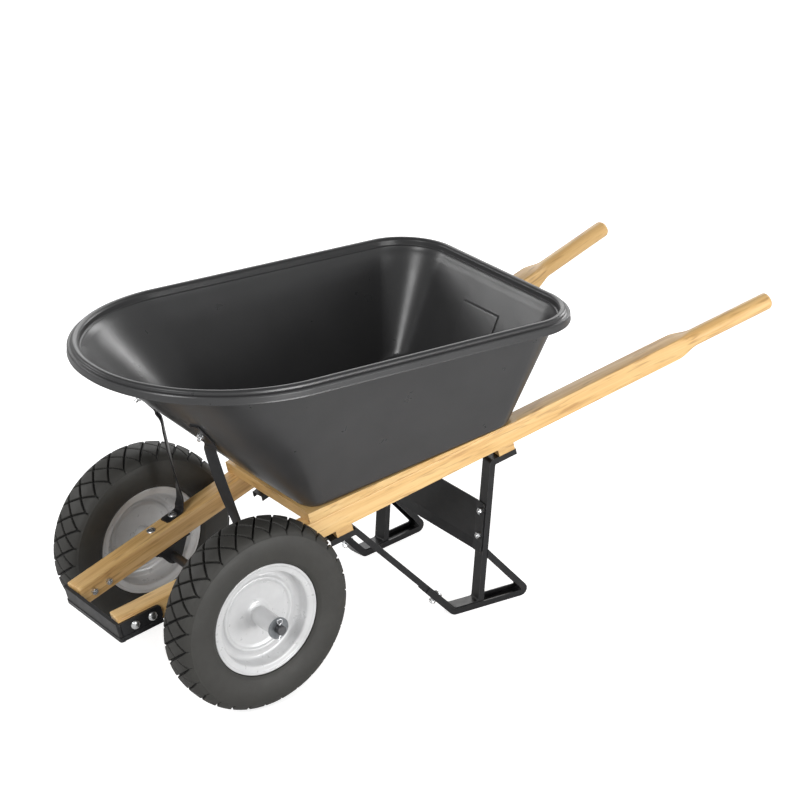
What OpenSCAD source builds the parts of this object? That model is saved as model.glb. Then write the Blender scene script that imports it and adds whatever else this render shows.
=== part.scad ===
// Two-wheel garden cart (wheelbarrow): poly tub on two hardwood handles,
// channel-steel legs, and two wheels that turn on a fixed straight axle.
// Millimetres, +Z up, nose toward -Y, grips toward +Y, symmetric about X = 0.

/* [Node] */
// Which node to draw

/* [Wheels] */
// Tyre outside radius
tyre_r = 197; // [185:1:205]
// Tyre half width
tyre_half_w = 48; // [42:1:54]
// Rim flange radius
rim_flange_r = 117.5; // [112:0.5:120]
// Bead seat radius of the rim
bead_r = 101.6; // [100:0.1:103]
// Half distance between the wheel centre planes
track_half = 211; // [195:1:225]
// Hub tube half length
hub_half = 75.5; // [70:0.5:80]
// Hub tube outside radius
hub_r = 19; // [17:0.5:22]

/* [Axle] */
// Axle rod diameter
axle_d = 19; // [15:0.5:20]
// Half length of the axle
axle_half = 303; // [295:1:310]
// Radial running clearance between axle and hub bushes
bush_gap = 0.05; // [0.02:0.01:0.1]
// Axle station along Y
axle_y = -518.5; // [-530:0.5:-505]

/* [Handles] */
// Handle section width
handle_w = 40; // [36:1:45]
// Handle section height
handle_h = 45; // [38:1:50]
// Handle length, nose end to grip tip
handle_len = 1570; // [1500:5:1600]
// Length of the turned grip
grip_len = 228; // [150:1:260]
// Grip radius
grip_r = 18.5; // [15:0.5:20]
// Splay of each handle away from the centre plane, degrees
splay = 7.24; // [4:0.1:10]
// Rise of the handles toward the grips, degrees
pitch = 12.48; // [8:0.1:16]
// Handle axis offset from the centre plane at the nose
handle_x = 78.5; // [60:0.5:100]
// Handle axis height at the nose
handle_z = 195; // [180:1:210]

/* [Tray] */
// Rim plane height at the axle-to-tray reference station
rim_z = 680; // [640:1:720]
// Slope of the rim plane, degrees (falls toward the grips)
rim_tilt = 3.38; // [0:0.1:6]
// Slope of the tray floor, degrees (rises toward the grips)
floor_tilt = 9.8; // [5:0.1:14]
// Tray half width at the rear of the rim
rim_half_rear = 301; // [280:1:320]
// Tray half width where the rounded front begins
rim_half_front = 299; // [240:1:310]
// Rim depth front to back from the axle to the rear edge
rim_rear = 784; // [740:1:820]
// Tray wall thickness
tray_t = 4; // [3:0.5:6]

/* [Wood packing] */
// Wedge height at its front end
wedge_h = 24; // [16:1:30]
// Wedge length
wedge_len = 497; // [450:1:520]
// Leg block thickness
block_t = 24.5; // [10:0.5:30]

/* [Leg frame] */
// Width of the leg channel
leg_w = 30; // [24:1:36]
// Depth of the channel flanges
flange = 13; // [10:0.5:16]
// Sheet thickness of legs and stabilizers
sheet = 2.5; // [2:0.25:4]
// Lean of the rear leg upright, degrees
upright_lean = 5.84; // [0:0.1:10]
// Angle of the leg diagonal below horizontal, degrees
diagonal = 48; // [40:1:55]

/* [Fasteners] */
// Bolt shank diameter
bolt_d = 8; // [6:0.5:10]
// Clearance hole diameter
hole_d = 8.6; // [6.5:0.1:11]

/* [Hidden] */
$fn = 48;
hy = axle_y - 231.8;             // handle axis reference point at the nose
wood = [0.86, 0.68, 0.42];
steel = [0.12, 0.12, 0.13];
zinc = [0.75, 0.76, 0.78];
poly = [0.20, 0.20, 0.21];
rub = [0.10, 0.10, 0.09];
rimc = [0.78, 0.79, 0.80];

// ---------- frames ----------
module side(s) { mirror([s < 0 ? 1 : 0, 0, 0]) children(); }
// handle frame: x outward, y along the handle, z up
module on_handle(s) { side(s) translate([handle_x, hy, handle_z]) rotate([0, 0, -splay]) rotate([pitch, 0, 0]) children(); }
// leg frame: x outward, y level along the handle, z up from the ground
module on_leg(s) { side(s) translate([handle_x, hy, 0]) rotate([0, 0, -splay]) children(); }
module on_nose() { translate([0, hy, handle_z]) rotate([pitch, 0, 0]) children(); }
module on_floor() { translate([0, axle_y + 172.9, 332.9]) rotate([floor_tilt, 0, 0]) children(); }
module on_wheel(s) { side(s) translate([track_half, axle_y, tyre_r]) rotate([0, 90, 0]) children(); }
function from_handle(n, s, z) = [
  handle_x + n*cos(splay) + (s*cos(pitch) - z*sin(pitch))*sin(splay),
  hy - n*sin(splay) + (s*cos(pitch) - z*sin(pitch))*cos(splay),
  handle_z + s*sin(pitch) + z*cos(pitch)];

// ---------- small helpers ----------
function unit(v) = v/norm(v);
function cross_pt(a, b, c, d) = let(r = b - a, q = d - c, k = r[0]*q[1] - r[1]*q[0],
  t = ((c[0] - a[0])*q[1] - (c[1] - a[1])*q[0])/k) a + r*t;
function rt(v) = [v[1], -v[0]];
// path moved by o to its right hand side, mitred
function shifted(p, o) = [for (i = [0:len(p)-1])
  i == 0 ? p[0] + rt(unit(p[1] - p[0]))*o :
  i == len(p)-1 ? p[i] + rt(unit(p[i] - p[i-1]))*o :
  cross_pt(p[i-1] + rt(unit(p[i] - p[i-1]))*o, p[i] + rt(unit(p[i] - p[i-1]))*o,
           p[i] + rt(unit(p[i+1] - p[i]))*o, p[i+1] + rt(unit(p[i+1] - p[i]))*o)];
// path with its inner corners rounded to radii r
function rounded(p, r) = [for (i = [0:len(p)-1]) each
  (i == 0 || i == len(p)-1 || r[i] <= 0) ? [p[i]] :
  let(a = unit(p[i-1] - p[i]), b = unit(p[i+1] - p[i]), h = acos(a*b)/2, L = r[i]/tan(h),
      c = p[i] + unit(a + b)*r[i]/sin(h), s0 = p[i] + a*L - c, s1 = p[i] + b*L - c,
      a0 = atan2(s0[1], s0[0]), d0 = atan2(s1[1], s1[0]) - a0, dd = d0 > 180 ? d0 - 360 : d0 < -180 ? d0 + 360 : d0,
      m = 5) [for (k = [0:m]) c + r[i]*[cos(a0 + dd*k/m), sin(a0 + dd*k/m)]]];
function rev(p) = [for (i = [len(p)-1:-1:0]) p[i]];
// strip between two paths, drawn in y-z and run along x
module strip(a, b, x0, x1) { translate([x0, 0, 0]) rotate([90, 0, 90]) linear_extrude(x1 - x0) polygon(concat(a, rev(b))); }
module bar8(w, h, c, y0, y1) { translate([0, y1, 0]) rotate([90, 0, 0]) linear_extrude(y1 - y0)
  polygon([[-w/2+c, -h/2], [w/2-c, -h/2], [w/2, -h/2+c], [w/2, h/2-c], [w/2-c, h/2], [-w/2+c, h/2], [-w/2, h/2-c], [-w/2, -h/2+c]]); }
module hexnut(z0) { translate([0, 0, z0]) difference() { cylinder(h = 6.5, r = 7.4, $fn = 6); translate([0, 0, -1]) cylinder(h = 9, d = bolt_d); } }
// domed carriage bolt: seat of the head at z = 0, shank downward
module carriage(len) { rotate_extrude() polygon(concat([[0, -len], [bolt_d/2 - 0.8, -len], [bolt_d/2, -len + 0.8], [bolt_d/2, 0], [9.6, 0], [9.6, 0.8]],
  [for (a = [15:15:75]) [9.6*cos(a), 0.8 + 3.9*sin(a)]], [[0, 4.7]])); }

// ---------- stations along the handle ----------
nose_s = [25, 63];
bracket_s = 202.5;
brace_s = 261;
front_s = 499;
rear_s = 884;
bolt_n = -10;
leg_x0 = bolt_n - leg_w/2;
leg_x1 = bolt_n + leg_w/2;

// ---------- leg geometry in the leg frame ----------
function seat_z(u) = handle_z + tan(pitch)*u - (handle_h/2 + block_t)/cos(pitch);
foot_top = flange + sheet;
u1 = 524.5;
p1 = [u1, seat_z(u1)];
p2 = [u1 + (p1[1] - foot_top)/tan(diagonal), foot_top];
p3 = [p2[0] + 56, foot_top];
up = [sin(upright_lean), cos(upright_lean)];
p4 = cross_pt(p3, p3 + up*100, [0, seat_z(0)], [100, seat_z(100)]);
p0 = [463.5, seat_z(463.5)];
p5 = [p4[0] + 61, seat_z(p4[0] + 61)];
leg_path = [p0, p1, p2, p3, p4, p5];
// stabilizer, outer face of its web
leg_out = shifted(leg_path, foot_top);
dgn = unit(p2 - p1);
q1 = [leg_out[2][0], 0];
q0 = q1 - dgn*94;
q2 = [938, 0];
back = unit([-1, 1.186]);
rear_a = p3 + rt(up)*flange;      // rear edge line of the upright flanges
q3 = cross_pt(q2, q2 + back*100, rear_a, rear_a + up*100);
stab_path = [q0, q1, q2, q3];

module leg_shape() {
  web_r = shifted(leg_path, sheet);
  fl_r = shifted(leg_path, flange);
  l = rounded(leg_path, [0, 10, 9, 4, 9, 0]);
  w = rounded(web_r, [0, 7.5, 11.5, 6.5, 6.5, 0]);
  f = rounded(fl_r, [0, 3, 22, 3, 3, 0]);
  difference() {
    union() {
      strip(l, w, leg_x0, leg_x1);
      strip(l, f, leg_x0, leg_x0 + sheet);
      strip(l, f, leg_x1 - sheet, leg_x1);
    }
    // front cross-plate holes and the stabilizer bolt hole
    for (z = [160, 215]) at_upright(z) translate([0, 0, -30]) cylinder(h = 60, d = hole_d);
    at_diagonal() translate([0, 0, -30]) cylinder(h = 60, d = hole_d);
  }
}
// z axis points forward out of the upright's front face
module at_upright(z) { translate([bolt_n, p3[0] + (z - foot_top)*tan(upright_lean), z]) rotate([0, 0, 0]) rotate([90 - upright_lean, 0, 0]) children(); }
// z axis points up out of the diagonal's top face
module at_diagonal() { translate([bolt_n, 0, 0]) translate([0, (p2 - dgn*48)[0], (p2 - dgn*48)[1]]) rotate([-diagonal, 0, 0]) children(); }

module stab_shape() {
  inner = shifted(stab_path, -sheet);
  lip = shifted(stab_path, -flange);
  e_in = cross_pt(inner[2], inner[3], rear_a, rear_a + up*100);
  e_lip = cross_pt(lip[2], lip[3], rear_a, rear_a + up*100);
  o = rounded(stab_path, [0, 22, 15, 0]);
  w = rounded([inner[0], inner[1], inner[2], e_in], [0, 19.5, 12.5, 0]);
  f = rounded([lip[0], lip[1], lip[2], e_lip], [0, 9, 2, 0]);
  // tab inside the upright channel
  wb = p3 + rt(up)*sheet;            // rear face of the upright web
  tb = p3 + rt(up)*2*sheet;
  t1 = cross_pt(q2, q3, tb, tb + up*100);
  t1i = cross_pt(inner[2], inner[3], wb, wb + up*100);
  t2 = t1 + up*44;
  t2i = cross_pt(t2, t2 + rt(up), wb, wb + up*100);
  x0 = leg_x0 - sheet; x1 = leg_x1 + sheet;
  difference() {
    union() {
      strip(o, w, x0, x1);
      strip(o, f, x0, x0 + sheet);
      strip(o, f, x1 - sheet, x1);
      strip([q3 - back*3, t1, t2], [e_in - back*3, t1i, t2i], leg_x0 + sheet + 0.5, leg_x1 - sheet - 0.5);
    }
    at_upright(160) translate([0, 0, -30]) cylinder(h = 60, d = hole_d);
    at_diagonal() translate([0, 0, -40]) cylinder(h = 60, d = hole_d);
  }
}

// ---------- tray loft ----------
// a plan point on the tray outline whose outward normal points at angle f
rim_rc = 130;
rim_yf = 109;
rim_b = 325.5;
rim_cx = 4;
floor_rear = 650;
floor_front = 180;
function floor_half(y) = handle_x + tan(splay)*(y + 231.8) + 19;
function top_pt(f) = f > 0 ? [rim_half_rear - rim_rc + rim_rc*cos(f), rim_rear - rim_rc + rim_rc*sin(f)] :
  let(a = rim_half_front - rim_cx, t = atan2(rim_b*sin(f), a*cos(f))) [rim_cx + a*cos(t), rim_yf + rim_b*sin(t)];
function low_pt(f) = f > 0 ? [floor_half(floor_rear) - 44 + 42*cos(f), floor_rear - 42 + 42*sin(f)] :
  [floor_half(floor_front) - 35 + 35*cos(f), floor_front + 35 + 35*sin(f)];
function rim_h(y) = rim_z - tan(rim_tilt)*(y - 300);
function floor_h(y) = 332.9 + tan(floor_tilt)*(y - 172.9);
function nrm(f) = [cos(f), sin(f)];
// wall point: t = 0 at the floor, 1 under the rim; i = inset
function wall(f, t, i) = let(a = low_pt(f), b = top_pt(f) - nrm(f)*24, p = a + (b - a)*t - nrm(f)*i)
  [p[0], p[1] + axle_y, floor_h(a[1]) + (rim_h(b[1]) - 14 - floor_h(a[1]))*t];
function rimp(f, i, dz) = let(p = top_pt(f) - nrm(f)*i) [p[0], p[1] + axle_y, rim_h(p[1]) + dz];
function flr(f, i, dz) = let(p = low_pt(f) - nrm(f)*i) [p[0], p[1] + axle_y, floor_h(p[1]) + dz];
angles = concat([for (k = [0:10]) 90 - 87*k/10], [for (k = [0:24]) -3 - 87*k/24]);
function half(k, f) = k == 0 ? flr(f, 7, 0) : k == 1 ? flr(f, 2.5, 1.6) :
  k == 2 ? wall(f, 0.02, 0) : k == 3 ? wall(f, 0.35, 0) : k == 4 ? wall(f, 0.7, 0) : k == 5 ? wall(f, 1, 0) :
  k == 6 ? rimp(f, 20, -10.5) : k == 7 ? rimp(f, 4, -11) : k == 8 ? rimp(f, 3.4, -25) : k == 9 ? rimp(f, 0.4, -26) :
  k == 10 ? rimp(f, 0, -12.5) : k == 11 ? rimp(f, 2, -9) : k == 12 ? rimp(f, 7.6, -8) : k == 13 ? rimp(f, 8.8, -3.2) :
  k == 14 ? rimp(f, 11.5, -0.6) : k == 15 ? rimp(f, 16, 0) : k == 16 ? rimp(f, 20.5, -1.6) : k == 17 ? rimp(f, 24.6, -6.5) :
  k == 18 ? wall(f, 1, tray_t) : k == 19 ? wall(f, 0.7, tray_t) : k == 20 ? wall(f, 0.35, tray_t) :
  k == 21 ? wall(f, 0.05, tray_t) : k == 22 ? flr(f, 7, tray_t + 3) : flr(f, 14, tray_t);
function ring(k) = concat([for (f = angles) half(k, f)], [for (i = [len(angles)-1:-1:0]) let(p = half(k, angles[i])) [-p[0], p[1], p[2]]]);
RK = 24;
RN = 2*len(angles);
// outward unit normal of the wall at f, t
function wall_n(f, t) = let(a = wall(f + 1, t, 0) - wall(f - 1, t, 0), b = wall(f, t + 0.02, 0) - wall(f, t - 0.02, 0), c = unit(cross(a, b)))
  c[2] > 0 ? -c : c;

// ---------- tray brace ----------
brace_f = -67.2;
brace_t = 0.6215;
bw = wall(brace_f, brace_t, 0);
bn = wall_n(brace_f, brace_t);
bu = unit([28, -64, 84] - bn*(([28, -64, 84])*bn));
brace_th = 3.2;
bc = bw + bn*(brace_th/2 + 0.6);
bwd = unit(cross(bu, bn));
// centre points of the strap and the direction of its width
brace_pts = [
  from_handle(2, 238, handle_h/2 + brace_th/2), from_handle(2, 262, handle_h/2 + brace_th/2), from_handle(2, 272, handle_h/2 + brace_th/2),
  from_handle(2, 277.5, handle_h/2 + 3), from_handle(2, 281, handle_h/2 + 7), from_handle(2, 282.5, handle_h/2 + 13),
  [116, axle_y + 38, 305], [111, axle_y + 31, 340], [104, axle_y + 19, 385], [97, axle_y + 6, 435], [92, axle_y - 4, 480], [90, axle_y - 9.5, 507],
  bc - bu*46 + bn*3.5, bc - bu*38 + bn*0.8, bc - bu*30, bc, bc + bu*36];
fh = [cos(splay), -sin(splay), 0];
rh = unit([0.81, 0.58, 0]);
brace_w = [fh, fh, fh, fh, fh, fh, unit(fh*0.8 + rh*0.2), unit(fh*0.5 + rh*0.5), unit(fh*0.2 + rh*0.8), rh, rh, unit(rh*0.85 + bwd*0.15),
  unit(rh*0.35 + bwd*0.65), bwd, bwd, bwd, bwd];
module strap() {
  n = len(brace_pts);
  function tang(i) = unit(brace_pts[min(i + 1, n - 1)] - brace_pts[max(i - 1, 0)]);
  function sec(i) = let(t = tang(i), w0 = brace_w[i], w = unit(w0 - t*(w0*t)), h = unit(cross(w, t)))
    [for (c = [[1, 1], [-1, 1], [-1, -1], [1, -1]]) brace_pts[i] + w*c[0]*12.5 + h*c[1]*brace_th/2];
  pts = [for (i = [0:n-1]) each sec(i)];
  faces = concat([[3, 2, 1, 0]], [for (i = [0:n-2]) for (j = [0:3]) let(a = 4*i + j, b = 4*i + (j + 1) % 4) each [[a, b, b + 4], [a, b + 4, a + 4]]],
    [[4*n-4, 4*n-3, 4*n-2, 4*n-1]]);
  polyhedron(pts, faces, convexity = 6);
}
// z axis points outward from the tray wall at the brace bolt
module at_brace() { translate(bw) rotate([0, acos(bn[2]), atan2(bn[1], bn[0])]) children(); }

// ---------- nodes ----------
module tray() color(poly) difference() {
  polyhedron([for (k = [0:RK-1]) each ring(k)],
    concat([[for (i = [0:RN-1]) i]], [[for (i = [RN-1:-1:0]) (RK-1)*RN + i]],
      [for (k = [0:RK-2]) for (i = [0:RN-1]) let(a = k*RN + i, b = k*RN + (i + 1) % RN) each [[a, a + RN, b + RN], [a, b + RN, b]]]), convexity = 8);
  for (s = [1, -1]) {
    for (t = [front_s, rear_s]) on_handle(s) translate([bolt_n, t, 0]) cylinder(h = 80, d = hole_d);
    side(s) at_brace() translate([0, 0, -20]) cylinder(h = 40, d = hole_d);
  }
}
module handle(s) color(wood) on_handle(s) difference() {
  union() {
    bar8(handle_w, handle_h, 2.5, -5, handle_len - 5 - grip_len - 12);
    intersection() {
      bar8(handle_w, handle_h, 2.5, handle_len - 5 - grip_len - 12, handle_len - 5 - grip_len + 16);
      translate([0, handle_len - 5 - grip_len - 12, 0]) rotate([-90, 0, 0]) cylinder(h = 28, r1 = 30, r2 = grip_r);
    }
    translate([0, handle_len - 5 - grip_len + 16, 0]) rotate([-90, 0, 0]) rotate_extrude() polygon(concat([[0, 0], [grip_r, 0]],
      [for (a = [0:15:90]) [grip_r - 9 + 9*cos(a), grip_len - 25 + 9*sin(a)]], [[0, grip_len - 16]]));
  }
  for (t = nose_s) translate([-40, t, -2]) rotate([0, 90, 0]) cylinder(h = 80, d = hole_d);
  translate([2, bracket_s, -40]) cylinder(h = 80, d = hole_d);
  translate([2, brace_s, -40]) cylinder(h = 80, d = hole_d);
  for (t = [front_s, rear_s]) translate([bolt_n, t, -40]) cylinder(h = 80, d = hole_d);
}
module wedge(s) color(wood) difference() {
  on_handle(s) translate([-handle_w/2, 428, handle_h/2]) cube([handle_w, wedge_len, 60]);
  on_floor() translate([-400, -100, 0]) cube([800, 800, 120]);
  difference() {
    on_floor() translate([-200, -40, -60]) cube([400, 78, 90]);
    on_handle(s) translate([2, 300, 0]) cube([200, 300, 100]);
  }
  for (t = [front_s, rear_s]) on_handle(s) translate([bolt_n, t, 0]) cylinder(h = 80, d = hole_d);
}
module riser() color(wood) difference() {
  on_floor() translate([-200, 0, -wedge_h]) cube([400, 38, wedge_h]);
  for (s = [1, -1]) {
    on_handle(s) translate([2, 300, -50]) cube([200, 300, 150]);
    on_handle(s) translate([-handle_w/2, 300, -handle_h/2 - 20]) cube([handle_w, 300, handle_h + 20]);
  }
}
module blocks(t, d) color(wood) for (s = [1, -1]) on_handle(s) difference() {
  translate([leg_x0, t + d - 19, -handle_h/2 - block_t]) cube([leg_w, 38, block_t]);
  translate([bolt_n, t, -80]) cylinder(h = 80, d = hole_d);
}
module leg(s) color(steel) difference() {
  on_leg(s) leg_shape();
  for (t = [front_s, rear_s]) on_handle(s) translate([bolt_n, t, -70]) cylinder(h = 60, d = hole_d);
}
module stabilizer(s) color(steel) on_leg(s) stab_shape();

// cross plate frame: x across, z up the lean of the uprights
cl = atan(tan(upright_lean)/cos(splay));
cu = p3[0] + (190 - foot_top)*tan(upright_lean);
cx = handle_x + cu*sin(splay) + bolt_n*cos(splay);
cy = hy + cu*cos(splay) - bolt_n*sin(splay);
module on_plate() { translate([0, cy, 190]) rotate([-cl, 0, 0]) children(); }
// rear face line of the plate in plan
function plate_pt(q) = [cx + q*cos(splay), -q*sin(splay)*cos(cl)];
plate_line = let(a = plate_pt(11), b = plate_pt(-20)) [[-a[0], a[1]], [-b[0], b[1]], b, a];
plate_front = let(a = plate_pt(11), b = plate_pt(-20), t = [sin(splay), cos(splay)]*sheet)
  [[-a[0] + t[0], a[1] - t[1]], [-b[0] + 0.16, b[1] - sheet], [b[0] - 0.16, b[1] - sheet], [a[0] - t[0], a[1] - t[1]]];
module cross_plate() color(steel) difference() {
  union() {
    on_plate() translate([0, 0, -45]) linear_extrude(88) polygon(concat(plate_line, rev(plate_front)));
    on_plate() translate([0, plate_front[1][1], -45]) rotate([-12, 0, 0]) translate([0, -plate_front[1][1], -21]) linear_extrude(22)
      polygon(concat(plate_line, rev(plate_front)));
  }
  for (s = [1, -1]) for (z = [160, 215]) on_leg(s) at_upright(z) translate([0, 0, -20]) cylinder(h = 40, d = hole_d);
}
guard_t = 5;
guard_x = 98.6;
module nose_part(z0, z1, t, reach, lip) {
  difference() {
    union() {
      for (s = [1, -1]) on_handle(s) translate([handle_w/2, -9, z0]) cube([t, reach + 9, z1 - z0]);
      on_nose() translate([-guard_x, -15, z0]) cube([2*guard_x, t, z1 - z0]);
      for (s = [1, -1]) on_nose() side(s) translate([guard_x - 0.4, -9.5, z0]) intersection() {
        cylinder(h = z1 - z0, r = 5.5);
        translate([-6, -6, -1]) cube([20, 9, z1 - z0 + 2]);
      }
      if (lip) on_nose() translate([-guard_x + 2, -15, z1 - 3]) cube([2*guard_x - 4, 7.5, 3]);
    }
    for (s = [1, -1]) on_handle(s) translate([-handle_w/2, -5, -60]) cube([handle_w, 200, 120]);
  }
}
module guard() color(steel) difference() {
  nose_part(-15.5, 15, guard_t, 84, true);
  for (s = [1, -1]) for (t = nose_s) on_handle(s) translate([-40, t, -2]) rotate([0, 90, 0]) cylinder(h = 80, d = hole_d);
  for (s = [1, -1]) on_handle(s) difference() {
    translate([handle_w/2 - 1, 76, -16.5]) cube([guard_t + 2, 20, 34]);
    translate([handle_w/2 - 2, 76, -7.5]) rotate([0, 90, 0]) cylinder(h = guard_t + 4, r = 8);
    translate([handle_w/2 - 2, 76, 7]) rotate([0, 90, 0]) cylinder(h = guard_t + 4, r = 8);
    translate([handle_w/2 - 2, 76, -7.5]) cube([guard_t + 4, 8, 14.5]);
  }
}
module dump() color(steel) difference() {
  union() {
    for (s = [1, -1]) on_handle(s) translate([handle_w/2, -9, -25]) cube([guard_t + 1.5, 90, 9]);
    on_nose() translate([-guard_x, -16.5, -25]) cube([2*guard_x, guard_t + 3, 9]);
    for (s = [1, -1]) on_nose() side(s) translate([guard_x - 0.4, -9.5, -25]) cylinder(h = 9, r = 7);
  }
  for (s = [1, -1]) on_handle(s) translate([-handle_w/2 - 4, -5, -60]) cube([handle_w + 4, 200, 120]);
  nose_part(-15.5, 15, guard_t, 84, true);
}
module brace(s) color(steel) difference() {
  side(s) strap();
  on_handle(s) translate([2, brace_s, 0]) cylinder(h = 60, d = hole_d);
  side(s) at_brace() translate([0, 0, -20]) cylinder(h = 40, d = hole_d);
}
module bracket(s) color(steel) difference() {
  on_handle(s) union() {
    translate([-20, 186, -handle_h/2 - 3]) cube([40, 90, 3]);
    for (x = [-20, 17]) translate([x, 0, 0]) rotate([90, 0, 90]) linear_extrude(3)
      polygon([[192, -handle_h/2 - 1], [268, -handle_h/2 - 1], [247, -55], [240, -62], [232, -65], [225, -65], [217, -62], [210, -55]]);
  }
  translate([-200, axle_y, tyre_r]) rotate([0, 90, 0]) cylinder(h = 400, d = axle_d);
  for (t = [bracket_s, brace_s]) on_handle(s) translate([2, t, -40]) cylinder(h = 30, d = hole_d);
}
module rod() color(zinc) translate([0, axle_y, tyre_r]) rotate([0, 90, 0]) difference() {
  rotate_extrude() polygon([[0, -axle_half], [axle_d/2 - 1.5, -axle_half], [axle_d/2, -axle_half + 1.5], [axle_d/2, axle_half - 1.5], [axle_d/2 - 1.5, axle_half], [0, axle_half]]);
  for (z = [-294.5, 294.5]) translate([-20, 0, z]) rotate([0, 90, 0]) cylinder(h = 40, d = 3.8);
}
module washers(x0, t, r) color(zinc) for (s = [1, -1]) side(s) translate([x0, axle_y, tyre_r]) rotate([0, 90, 0]) difference() {
  cylinder(h = t, r = r);
  translate([0, 0, -1]) cylinder(h = t + 2, d = axle_d);
}
module cotters() color(zinc) for (s = [1, -1]) side(s) translate([294.5, axle_y, tyre_r]) {
  translate([0, 0, -axle_d/2 - 13]) cylinder(h = axle_d + 16, d = 3.4);
  translate([0, 0, axle_d/2 + 7.5]) rotate([0, 90, 0]) rotate_extrude() translate([5, 0]) circle(d = 3);
}
// tyre: crown and sidewalls from a rounded superellipse, seated on the rim
function sgnpow(v, p) = v < 0 ? -pow(-v, p) : pow(v, p);
module tyre(s) color(rub) on_wheel(s) rotate_extrude() polygon(concat(
  [[bead_r, -30.5], [bead_r + 13, -30.5], [bead_r + 16.5, -33], [rim_flange_r + 0.8, -38]],
  [for (a = [-54:9:54]) [150 + (tyre_r - 150)*sgnpow(cos(a*1.6), 0.62), tyre_half_w*sgnpow(sin(a*1.6), 0.72)]],
  [[rim_flange_r + 0.8, 38], [bead_r + 16.5, 33], [bead_r + 13, 30.5], [bead_r, 30.5]]));
module rim(s) color(rimc) on_wheel(s) rotate_extrude() polygon([
  [hub_r, 1.5], [hub_r, 7], [24, 7], [30, 4.5], [66, 4.5], [70, 6], [74, 10], [78, 10], [82, 6], [86, 4.5], [93, 4.5], [97, 7.5], [98.6, 13],
  [98.6, 31.5], [99.5, 33], [111, 34.5], [113.5, 36.8], [rim_flange_r - 1, 36.8], [rim_flange_r, 35.6], [rim_flange_r, 34.6],
  [bead_r + 13.5, 33], [bead_r + 12, 30.5], [bead_r, 30.5],
  [bead_r, -30.5], [bead_r + 12, -30.5], [bead_r + 13.5, -33], [rim_flange_r, -34.6], [rim_flange_r, -35.6], [rim_flange_r - 1, -36.8], [113.5, -36.8],
  [111, -34.5], [99.5, -33], [98.6, -31.5], [98.6, -3], [96, 1], [86, 1], [82, 2.6], [78, 6.5], [74, 6.5], [70, 2.6], [66, 1], [30, 1], [24, 1.5]]);
module hub(s) color(rimc) on_wheel(s) rotate_extrude() polygon([[11.5, -hub_half + 1], [12.5, -hub_half], [hub_r - 1, -hub_half], [hub_r, -hub_half + 1],
  [hub_r, hub_half - 1], [hub_r - 1, hub_half], [12.5, hub_half], [11.5, hub_half - 1]]);
module bushes(s) color(zinc) on_wheel(s) for (m = [0, 1]) mirror([0, 0, m]) rotate_extrude()
  polygon([[axle_d/2 + bush_gap, hub_half - 28], [11.5, hub_half - 28], [11.5, hub_half - 1], [axle_d/2 + bush_gap, hub_half - 1]]);

// fasteners
function floor_local(t) = handle_h/2 + wedge_h*(1 - (t - 428)/514) + tray_t;
module tray_bolts() color(zinc) for (s = [1, -1]) for (t = [front_s, rear_s]) on_handle(s) translate([bolt_n, t, floor_local(t) + 0.7]) carriage(floor_local(t) + 0.7 + handle_h/2 + block_t + sheet + 10);
module tray_bolt_nuts() color(zinc) for (s = [1, -1]) for (t = [front_s, rear_s]) on_handle(s) translate([bolt_n, t, 0]) hexnut(-handle_h/2 - block_t - sheet - 6.5);
module nose_bolts() color(zinc) for (s = [1, -1]) for (t = nose_s) on_handle(s) translate([handle_w/2 + guard_t, t, -2]) rotate([0, 90, 0]) carriage(handle_w + guard_t + 9);
module nose_nuts() color(zinc) for (s = [1, -1]) for (t = nose_s) on_handle(s) translate([-handle_w/2, t, -2]) rotate([0, -90, 0]) hexnut(0);
module bracket_bolts() color(zinc) for (s = [1, -1]) on_handle(s) {
  translate([2, bracket_s, handle_h/2]) carriage(handle_h + 3 + 9);
  translate([2, brace_s, handle_h/2 + brace_th]) carriage(handle_h + brace_th + 3 + 9);
}
module bracket_nuts() color(zinc) for (s = [1, -1]) for (t = [bracket_s, brace_s]) on_handle(s) translate([2, t, 0]) hexnut(-handle_h/2 - 3 - 6.5);
module brace_tray_bolts() color(zinc) for (s = [1, -1]) side(s) at_brace() translate([0, 0, -tray_t - 0.2]) rotate([180, 0, 0]) carriage(tray_t + brace_th + 14);
module brace_tray_nuts() color(zinc) for (s = [1, -1]) side(s) at_brace() hexnut(brace_th + 0.6);
module cross_plate_bolts() color(zinc) for (s = [1, -1]) on_leg(s) for (z = [160, 215]) at_upright(z)
  translate([0, 0, -(z < 180 ? 2 : 1)*sheet]) rotate([180, 0, 0]) carriage((z < 180 ? 3 : 2)*sheet + 9);
module cross_plate_nuts() color(zinc) for (s = [1, -1]) on_leg(s) for (z = [160, 215]) at_upright(z) hexnut(sheet);
module stabilizer_bolts() color(zinc) for (s = [1, -1]) on_leg(s) at_diagonal() carriage(foot_top + 9);
module stabilizer_nuts() color(zinc) for (s = [1, -1]) on_leg(s) at_diagonal() hexnut(-foot_top - 6.5);

tray();
handle(-1);  // left_handle
handle(1);  // right_handle
wedge(-1);  // left_wedge
wedge(1);  // right_wedge
riser();  // front_riser
blocks(front_s, 0);  // front_leg_blocks
blocks(rear_s, 3);  // rear_leg_blocks
leg(-1);  // left_leg
leg(1);  // right_leg
stabilizer(-1);  // left_stabilizer
stabilizer(1);  // right_stabilizer
cross_plate();  // leg_cross_plate
guard();  // nose_guard
dump();  // dump_bar
brace(-1);  // left_tray_brace
brace(1);  // right_tray_brace
bracket(-1);  // left_axle_bracket
bracket(1);  // right_axle_bracket
rod();  // axle
washers(133.4, 1.6, 15);  // axle_inner_washers
washers(track_half + hub_half + 0.4, 2.5, 22.5);  // axle_outer_washers
cotters();  // cotter_pins
tyre(-1);  // left_tyre
rim(-1);  // left_rim
hub(-1);  // left_hub
bushes(-1);  // left_hub_bushes
tyre(1);  // right_tyre
rim(1);  // right_rim
hub(1);  // right_hub
bushes(1);  // right_hub_bushes
tray_bolts();
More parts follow.
